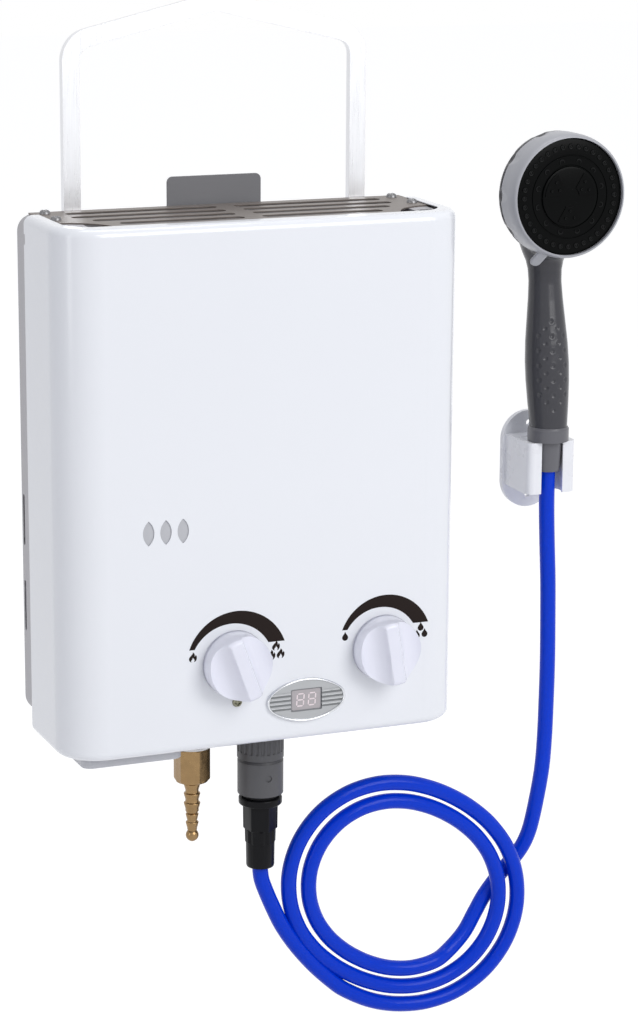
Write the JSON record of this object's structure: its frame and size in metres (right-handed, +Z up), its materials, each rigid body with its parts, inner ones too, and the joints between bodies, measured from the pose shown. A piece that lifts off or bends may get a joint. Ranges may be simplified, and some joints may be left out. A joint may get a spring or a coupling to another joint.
{
  "type": "portable gas water heater",
  "caption": "Wall-hung portable gas water heater with carry handle, two control knobs, display, gas hose tail and a coiled hose to a hand shower in a wall holder.",
  "frame": {"origin": "centre of the round entry of the keyhole in the hanger plate, on the wall plane", "axes": "+Z up, -Y out of the wall towards the user, +X to the user's right"},
  "size_m": [0.435, 0.1328, 0.7433],
  "materials": {
    "white_enamel": "gloss stove enamel",
    "galvanised": "matt galvanised sheet",
    "dark_plate": "dark grey coated steel",
    "grille_steel": "warm grey brushed steel",
    "bright_steel": "bright zinc",
    "handle_metal": "satin anodised",
    "copper": "plain copper",
    "brass": "turned brass",
    "cast_valve": "die cast",
    "white_plastic": "smooth moulded",
    "grey_plastic": "moulded",
    "light_grey_plastic": "moulded",
    "dark_plastic": "moulded",
    "black_plastic": "moulded",
    "rubber": "soft",
    "red_window": "clear",
    "blue_hose": "smooth PVC",
    "ceramic": "glazed",
    "circuit_board": "solder mask",
    "battery": "wrapped cell"
  },
  "bodies": {
    "heater": {"back_pan": "galvanised", "hanger_plate": "dark_plate", "lower_spacer": "dark_plate", "hanger_rivets": "bright_steel", "front_cover": "white_enamel", "top_grille": "grille_steel", "grille_screws": "bright_steel", "cover_screw": "bright_steel", "bottom_plate": "galvanised", "flue_hood": "galvanised", "heat_exchanger": "copper", "exchanger_tubes": "copper", "combustion_chamber": "copper", "chamber_pipe": "copper", "hot_pipe": "copper", "cold_pipe": "copper", "burner_box": "galvanised", "burner_bars": "bright_steel", "gas_manifold": "brass", "gas_valve": "cast_valve", "gas_inlet": "brass", "gas_washer": "bright_steel", "gas_hose_tail": "brass", "water_valve": "brass", "diaphragm_housing": "brass", "inlet_filter": "bright_steel", "outlet_adaptor": "grey_plastic", "connector_core": "dark_plastic", "connector_ring": "rubber", "hose_nut": "black_plastic", "battery_box": "light_grey_plastic", "battery_cells": "battery", "igniter_box": "white_plastic", "electrodes": "ceramic", "overheat_switch": "dark_plastic", "display_module": "circuit_board", "display_bezel": "bright_steel", "display_window": "red_window", "handle_brackets": "galvanised", "handle_pins": "bright_steel", "wall_holder": "white_plastic", "hose_lead": "blue_hose", "hose_coil": "blue_hose", "hose_riser": "blue_hose"},
    "handle": {"carry_handle": "handle_metal"},
    "gas_control": {"gas_spindle": "bright_steel", "gas_knob": "white_plastic"},
    "water_control": {"water_spindle": "bright_steel", "water_knob": "white_plastic"},
    "battery_door": {"battery_lid": "light_grey_plastic"},
    "release_sleeve": {"connector_sleeve": "grey_plastic"},
    "flow_rod": {"diaphragm": "rubber", "push_rod": "bright_steel"},
    "handset": {"hose_ferrule": "grey_plastic", "handset_collar": "grey_plastic", "handset_body": "dark_plastic"},
    "spray_head": {"spray_ring": "light_grey_plastic", "spray_face": "black_plastic", "spray_nozzles": "rubber"}
  },
  "joints": [
    {"name": "handle_fold", "type": "hinge", "parent": "heater", "child": "handle", "pos_m": [0, -0.0045, 0.008], "axis": [-1, 0, 0], "range_deg": [0, 180]},
    {"name": "gas_turn", "type": "hinge", "parent": "heater", "child": "gas_control", "pos_m": [-0.026, -0.109, -0.2805], "axis": [0, 1, 0], "range_deg": [-56, 98]},
    {"name": "water_turn", "type": "hinge", "parent": "heater", "child": "water_control", "pos_m": [0.084, -0.109, -0.2805], "axis": [0, 1, 0], "range_deg": [-68, 86]},
    {"name": "battery_door_hinge", "type": "hinge", "parent": "heater", "child": "battery_door", "pos_m": [-0.091, -0.023, -0.3502], "axis": [1, 0, 0], "range_deg": [0, 90]},
    {"name": "sleeve_release", "type": "slide", "parent": "heater", "child": "release_sleeve", "axis": [0, 0, -1], "range_m": [0, 0.0025], "stiffness_N_per_m": 400, "springref_m": -0.002},
    {"name": "rod_push", "type": "slide", "parent": "heater", "child": "flow_rod", "axis": [-1, 0, 0], "range_m": [0, 0.0025], "stiffness_N_per_m": 400, "springref_m": -0.001},
    {"name": "handset_lift", "type": "slide", "parent": "heater", "child": "handset", "axis": [0, 0, 1], "range_m": [0, 0.04]},
    {"name": "spray_turn", "type": "hinge", "parent": "handset", "child": "spray_head", "pos_m": [0.245, -0.051, 0.0193], "axis": [0, -1, 0], "range_deg": [0, 72]}
  ]
}
